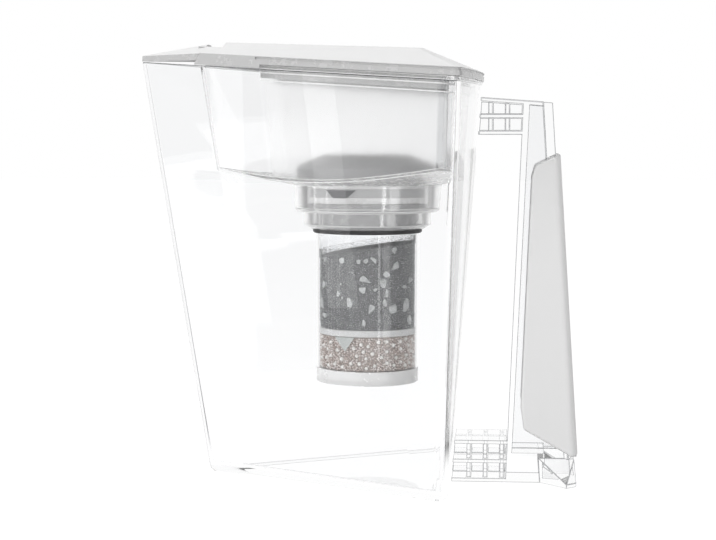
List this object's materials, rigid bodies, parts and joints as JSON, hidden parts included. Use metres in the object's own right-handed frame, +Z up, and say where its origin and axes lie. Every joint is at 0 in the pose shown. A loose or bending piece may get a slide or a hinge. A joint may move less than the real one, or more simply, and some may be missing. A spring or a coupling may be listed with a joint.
{
  "type": "water filter pitcher",
  "caption": "Clear triangular water filter pitcher with a corner spout under a flip flap, an inner hopper, a hanging filter cartridge, a lift-off lid and a ribbed handle with a soft grip.",
  "frame": {"origin": "centre of the whole object in plan, on the table it stands on", "axes": "+X towards the handle, -X towards the spout, +Y to the right of someone who looks from the spout to the handle, +Z up"},
  "size_m": [0.2678, 0.2112, 0.2655],
  "materials": {
    "jug_clear": "clear, polished",
    "frame_clear": "clear, polished",
    "grip_grey": "soft, satin",
    "hopper_frosted": "frosted, half clear",
    "socket_frosted": "milky, half clear",
    "lid_white": "milky white, satin",
    "pin_white": "white, satin",
    "tube_clear": "clear, polished",
    "head_grey": "dark grey, fine matt",
    "seal_black": "black, matt",
    "screen_nylon": "woven mesh",
    "foam_grey": "open foam",
    "carbon_black": "loose black grains",
    "chip_pale": "pale broken mineral",
    "felt_white": "needled felt",
    "resin_beads": "small round beads, amber and white",
    "cap_frosted": "milky, half clear"
  },
  "bodies": {
    "jug": {"jug_body": "jug_clear", "handle_frame": "frame_clear", "handle_grip": "grip_grey"},
    "hopper": {"hopper": "hopper_frosted", "filter_socket": "socket_frosted"},
    "lid": {"main_lid": "lid_white", "hinge_pin": "pin_white"},
    "flap": {"spout_flap": "lid_white"},
    "cartridge": {"cartridge_shell": "tube_clear", "cartridge_head": "head_grey", "cartridge_seal": "seal_black", "inlet_screen": "screen_nylon", "foam_pad": "foam_grey", "carbon_bed": "carbon_black", "mineral_chips": "chip_pale", "separator_felt": "felt_white", "resin_bed": "resin_beads", "outlet_felt": "felt_white", "outlet_screen": "screen_nylon", "end_cap": "cap_frosted"}
  },
  "joints": [
    {"name": "hopper_lift", "type": "slide", "parent": "jug", "child": "hopper", "axis": [0, 0, 1], "range_m": [0, 0.2]},
    {"name": "lid_lift", "type": "slide", "parent": "hopper", "child": "lid", "axis": [0, 0, 1], "range_m": [0, 0.2]},
    {"name": "flap_hinge", "type": "hinge", "parent": "lid", "child": "flap", "pos_m": [-0.08526, 0, 0.25915], "axis": [0, 1, 0], "range_deg": [0, 90]},
    {"name": "cartridge_lift", "type": "slide", "parent": "hopper", "child": "cartridge", "axis": [0, 0, 1], "range_m": [0, 0.16]}
  ],
  "couplings": [
    {"joint": "cartridge_lift", "follows": "lid_lift", "ratio": 0.8}
  ]
}
